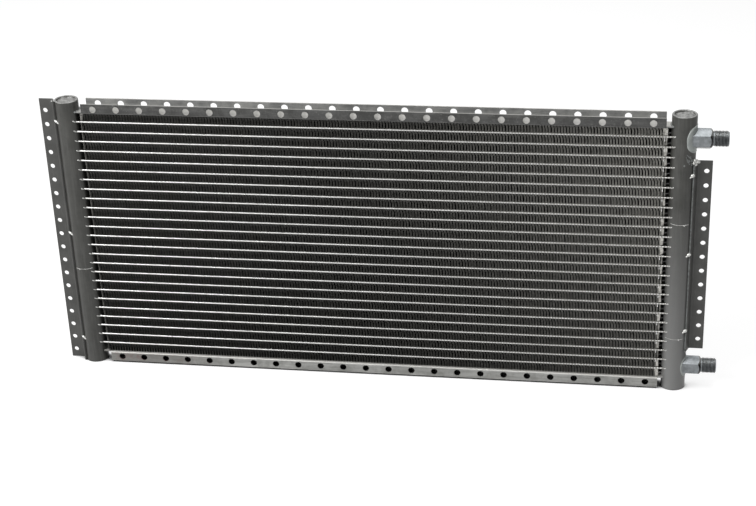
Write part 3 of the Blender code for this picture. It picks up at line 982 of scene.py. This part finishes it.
def hexagon(start, end, height):
    """A hexagonal bar with its corners up and down, its outer end turned to a chamfer."""
    corner = HEX_FLATS / math.sqrt(3)
    turn = Matrix.Rotation(math.pi / 2, 4, "Y") @ Matrix.Rotation(math.pi / 6, 4, "Z")
    matrix = Matrix.Translation(((start + end) / 2, 0, height)) @ turn
    bar = bmesh.new()
    bmesh.ops.create_cone(
        bar, cap_ends=True, segments=6, radius1=corner, radius2=corner, depth=end - start, matrix=matrix)
    long_edges = [edge for edge in bar.edges if abs(edge.verts[0].co.x - edge.verts[1].co.x) > 1 * MM]
    bmesh.ops.bevel(
        bar, geom=long_edges, offset=0.3 * MM, offset_type="OFFSET", affect="EDGES",
        segments=2, profile=0.5, material=-1)
    blank = bmesh.new()
    profile = [
        (start - 1 * MM, 0.0), (start - 1 * MM, corner + 1 * MM), (end - 3.2 * MM, corner + 0.05 * MM),
        (end, HEX_FLATS / 2 - 1.2 * MM), (end, 0.0)]
    turn_profile(blank, profile, (0, 0, height), (1, 0, 0), 64)
    face_out(blank)
    return combine(bar, blank, "INTERSECT")


class COIL_OT_fittings(Operator):
    """Hexagonal weld-on fittings with a turned shoulder and bore"""

    bl_idname = "coil.fittings"
    bl_label = "Port fittings"

    def execute(self, context):
        start = RIGHT_AXIS + HEX_END
        root, bore = THREAD_ROOT, PORT_BORE
        for name, height in PORTS:
            node = f"{name}_fitting"
            bm = hexagon(RIGHT_AXIS + HEX_START, start, height)
            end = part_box(node)[1].x - 0.05 * MM
            profile = [
                (start - 1.0 * MM, 0.0), (start - 1.0 * MM, root + 0.5 * MM),
                (start + 0.3 * MM, root + 0.5 * MM), (start + 0.9 * MM, root - 0.1 * MM),
                (end - 0.9 * MM, root - 0.1 * MM), (end, root - 0.9 * MM), (end, bore + 0.5 * MM),
                (end - 0.5 * MM, bore), (end - 16 * MM, bore), (end - 16 * MM, 0.0)]
            turn_profile(bm, profile, (0, 0, height), (1, 0, 0), 48)
            face_out(bm)
            for face in bm.faces:
                # Painted reflection: the hexagon's chamfer is as dark as the thread, standing in for the
                # dark reflection on it
                chamfer = face.normal.x > 0.25 and face.calc_center_median().x < start + 1 * MM
                face.material_index = 1 if chamfer else 0
            finish_piece(f"{name}_hexagon_body", bm, "fitting", [node], smooth=28, second="thread")
        return {"FINISHED"}


def ridge(bm, start, end, pitch):
    """One ridge that winds round the X axis."""
    steps = 28
    root = THREAD_CREST - 0.95 * MM
    foot = root - 0.3 * MM
    turns = (end - start) / pitch - 0.7
    base = start + 0.15 * pitch
    crest = THREAD_CREST
    shape = ((0.0, foot), (0.05, root), (0.42, crest), (0.58, crest), (0.95, root), (1.0, foot))
    face = bm.faces.new([bm.verts.new((base + part * pitch * 0.7, radius, 0)) for part, radius in shape])
    bmesh.ops.spin(
        bm, geom=[face], cent=(0, 0, 0), axis=(1, 0, 0), dvec=(pitch / steps, 0, 0),
        angle=math.tau * turns, steps=round(turns * steps))


class COIL_OT_threads(Operator):
    """Male hose threads, cut as one rising ridge"""

    bl_idname = "coil.threads"
    bl_label = "Hose threads"

    def execute(self, context):
        pitch = context.scene.coil_sizes.thread_pitch
        start = RIGHT_AXIS + THREAD_START
        for name, height in PORTS:
            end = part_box(f"{name}_fitting")[1].x
            bm = bmesh.new()
            ridge(bm, start + 0.2 * MM, end - 0.5 * MM, pitch)
            for vertex in bm.verts:
                reach = math.hypot(vertex.co.y, vertex.co.z)
                # The first and last turns are cut down by the chamfer and the run-out
                room = min(end - 0.1 * MM - vertex.co.x, 2 * (vertex.co.x - start))
                most = min(THREAD_CREST, THREAD_ROOT - 0.05 * MM + max(room, 0.0) * 0.9)
                if reach > most:
                    vertex.co.y *= most / reach
                    vertex.co.z *= most / reach
            bmesh.ops.translate(bm, verts=bm.verts, vec=(0, 0, height))
            finish_piece(f"{name}_hose_thread", bm, "thread", smooth=40)
        return {"FINISHED"}


SADDLE_SQUARENESS = 0.62


def saddle(bm, height, reach, rise):
    """A skin on the header round the fitting: its reach round the curve and its height."""
    made = bmesh.ops.create_circle(bm, cap_ends=False, segments=48, radius=1.0)["verts"]
    loops = [made]
    edges = list({edge for vertex in made for edge in vertex.link_edges})
    for _ in range(4):
        moved, edges = widen(bm, edges)
        loops.append(moved)
    for loop, (part, lift) in zip(loops, ((1.0, -0.3), (0.97, 0.5), (0.92, 0.7), (0.84, 0.45), (0.4, 0.9))):
        for vertex in loop:
            across, along = vertex.co.x, vertex.co.y
            across = math.copysign(abs(across) ** SADDLE_SQUARENESS, across)
            wobble = 1 + 0.07 * noise.noise(Vector((across * 1.6, along * 1.6, height * 30)))
            turn = part * wobble * across * reach / HEADER_RADIUS
            skin = HEADER_RADIUS + lift * MM
            y = max(-skin * math.sin(turn), -HEADER_FRONT)
            z = height + part * wobble * along * rise
            vertex.co = (RIGHT_AXIS + skin * math.cos(turn), min(y, HEADER_FRONT), z)
    bmesh.ops.contextual_create(bm, geom=edges)


class COIL_OT_port_welds(Operator):
    """Saddles and weld seams between the fittings and the header"""

    bl_idname = "coil.port_welds"
    bl_label = "Port welds"

    def execute(self, context):
        for name, height, reach, rise in (
            ("upper", UPPER_PORT + 1.0 * MM, 20.0 * MM, 17.0 * MM),
            ("lower", LOWER_PORT, 14.5 * MM, 13.4 * MM),
        ):
            bm = bmesh.new()
            saddle(bm, height, reach, rise)
            finish_piece(f"{name}_port_saddle", bm, "saddle", smooth=60)
        bm = bmesh.new()
        # The seam that welds the upper port runs out in a crooked tail towards the bracket
        reach = HEADER_RADIUS - 0.1 * MM
        tail = ((72, -16.2), (66, -17.4), (61, -19.0), (55, -20.6), (50, -22.4), (45, -24.0))
        points = [beside_header(RIGHT_AXIS, 1, angle, reach, UPPER_PORT + rise * MM) for angle, rise in tail]
        weld_bead(bm, points, 1.0 * MM, seed=9.0)
        # Spatter lies below it
        rng = random.Random(11)
        for _ in range(16):
            angle = rng.uniform(44, 84)
            z = UPPER_PORT - rng.uniform(18.0, 29.0) * MM
            place = beside_header(RIGHT_AXIS, 1, angle, HEADER_RADIUS - 0.25 * MM, z)
            size = rng.uniform(0.7, 1.6) * MM
            drop(bm, place, (0, 0, 1), beside_header(0, 1, angle, 1.0, 0), (size, 0.7 * MM, size * 0.7))
        # The upper channel's tongues are brazed to the headers with a crooked bead
        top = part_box("top_side_channel")[0].z + 1.2 * MM
        for axis, inwards in ((LEFT_AXIS, 1), (RIGHT_AXIS, -1)):
            points = []
            for step in range(7):
                y = (-8.2 + step * 2.7) * MM
                skin = math.sqrt(HEADER_RADIUS**2 - y * y) + 0.4 * MM
                z = top + 0.5 * MM * noise.noise(Vector((step * 1.3, axis * 9, 0)))
                points.append((axis + inwards * skin, y, z))
            weld_bead(bm, points, 1.25 * MM, seed=axis * 7)
        finish_piece("weld_seams", bm, "dull_weld", smooth=50)
        return {"FINISHED"}


# Stage


FLOOR_SIZE = 6.0
SHADOW_REACH = 32.0 * MM
FLOOR_GLOW = 0.75
WORLD_LIGHT = 0.17
WHITE = (1.0, 1.0, 1.0, 1.0)
DARK = (0.01, 0.01, 0.01, 1.0)
LENS = 79.1754
CAMERA_PLACE = (0.31938, -1.79141, 1.04755)
CAMERA_RIGHT = (0.986642, 0.158811, -0.0363)
CAMERA_UP = (-0.037185, 0.436492, 0.898939)
CAMERA_AHEAD = (-0.158606, 0.885581, -0.436566)
LAMP_TARGET = (0.0, 0.0, 0.15)


def seen_rays(tree):
    """1 for what the camera sees, straight, in a reflection or through glass."""
    rays = add_node(tree, "LightPath").outputs
    seen = math_node("MAXIMUM", rays["Is Camera Ray"], rays["Is Glossy Ray"])
    return math_node("MAXIMUM", seen, rays["Is Transmission Ray"])


def add_floor(colours):
    bm = bmesh.new()
    bmesh.ops.create_grid(bm, x_segments=1, y_segments=1, size=FLOOR_SIZE)
    mesh = bpy.data.meshes.new("studio_floor")
    bm.to_mesh(mesh)
    bm.free()
    material = bpy.data.materials.new("white studio floor")
    tree = empty_tree(material)
    # Under the coil, where hardly any light comes in, the floor stays as dark as its shadow
    open_sky = add_node(tree, "AmbientOcclusion", {"Distance": SHADOW_REACH}).outputs["AO"]
    open_sky = band(open_sky, 0.28, 0.52)
    shade = tint(open_sky, DARK, (*colours.floor, 1.0))
    diffuse = add_node(tree, "BsdfDiffuse", {"Color": shade})
    strength = product(seen_rays(tree), product(open_sky, FLOOR_GLOW))
    glow = add_node(tree, "Emission", {"Color": WHITE, "Strength": strength})
    both = add_node(tree, "AddShader", {0: diffuse.outputs[0], 1: glow.outputs[0]})
    add_node(tree, "OutputMaterial", {"Surface": both.outputs[0]})
    mesh.materials.append(material)
    add_object("studio_floor", mesh)


def add_sky(colours):
    world = bpy.data.worlds.new("studio")
    bpy.context.scene.world = world
    tree = empty_tree(world)
    soft = add_node(tree, "Background", {"Color": WHITE, "Strength": WORLD_LIGHT})
    plain = add_node(tree, "Background", {"Color": (*colours.backdrop, 1.0), "Strength": 1.0})
    inputs = {0: seen_rays(tree), 1: soft.outputs[0], 2: plain.outputs[0]}
    mixed = add_node(tree, "MixShader", inputs)
    add_node(tree, "OutputWorld", {"Surface": mixed.outputs[0]})


def add_lamp(name, place, size, power):
    light = bpy.data.lights.new(name, "AREA")
    light.shape = "RECTANGLE"
    light.size, light.size_y = size
    light.energy = power
    lamp = add_object(name, light)
    lamp.location = place
    lamp.rotation_euler = (Vector(LAMP_TARGET) - Vector(place)).to_track_quat("-Z", "Y").to_euler()


def add_camera():
    data = bpy.data.cameras.new("camera")
    data.lens = LENS
    data.sensor_width = 36.0
    data.sensor_fit = "HORIZONTAL"
    data.clip_end = 50.0
    turn = Matrix((CAMERA_RIGHT, CAMERA_UP, -Vector(CAMERA_AHEAD))).transposed().to_4x4()
    camera = add_object("camera", data)
    camera.matrix_world = Matrix.Translation(CAMERA_PLACE) @ turn
    bpy.context.scene.camera = camera


class COIL_OT_stage(Operator):
    """White floor, soft lamps and the camera"""

    bl_idname = "coil.stage"
    bl_label = "Stage"

    def execute(self, context):
        colours = context.scene.coil_colours
        context.scene.view_settings.view_transform = "Standard"
        add_camera()
        add_floor(colours)
        add_sky(colours)
        add_lamp("key_softbox", (-1.7, -1.5, 1.9), (1.6, 1.2), 68.0)
        add_lamp("top_softbox", (0.1, 0.1, 2.3), (2.2, 1.2), 32.0)
        return {"FINISHED"}


OPERATORS = (
    COIL_OT_stage,
    COIL_OT_tubes,
    COIL_OT_fins,
    COIL_OT_fin_ends,
    COIL_OT_headers,
    COIL_OT_braze,
    COIL_OT_baffle_marks,
    COIL_OT_channels,
    COIL_OT_brackets,
    COIL_OT_tack_welds,
    COIL_OT_fittings,
    COIL_OT_threads,
    COIL_OT_port_welds,
)


class COIL_PT_panel(Panel):
    bl_idname = "COIL_PT_panel"
    bl_label = "Condenser coil"
    bl_space_type = "VIEW_3D"
    bl_region_type = "UI"
    bl_category = "Coil"

    def draw(self, context):
        sizes = context.scene.coil_sizes
        for name in sizes.bl_rna.properties.keys():
            if name not in ("rna_type", "name"):
                self.layout.prop(sizes, name)
        self.layout.prop(context.scene.coil_colours, "floor")
        self.layout.prop(context.scene.coil_colours, "backdrop")
        for operator in OPERATORS:
            self.layout.operator(operator.bl_idname)


CLASSES = (CoilSizes, CoilColours, *OPERATORS, COIL_PT_panel)


def register():
    for cls in CLASSES:
        bpy.utils.register_class(cls)
    bpy.types.Scene.coil_sizes = PointerProperty(type=CoilSizes)
    bpy.types.Scene.coil_colours = PointerProperty(type=CoilColours)


def unregister():
    del bpy.types.Scene.coil_colours
    del bpy.types.Scene.coil_sizes
    for cls in reversed(CLASSES):
        bpy.utils.unregister_class(cls)


def main():
    register()
    for operator in OPERATORS:
        group, name = operator.bl_idname.split(".")
        result = getattr(getattr(bpy.ops, group), name)()
        if result != {"FINISHED"}:
            raise RuntimeError(f"{operator.bl_label} could not be made")


if __name__ == "__main__":
    main()
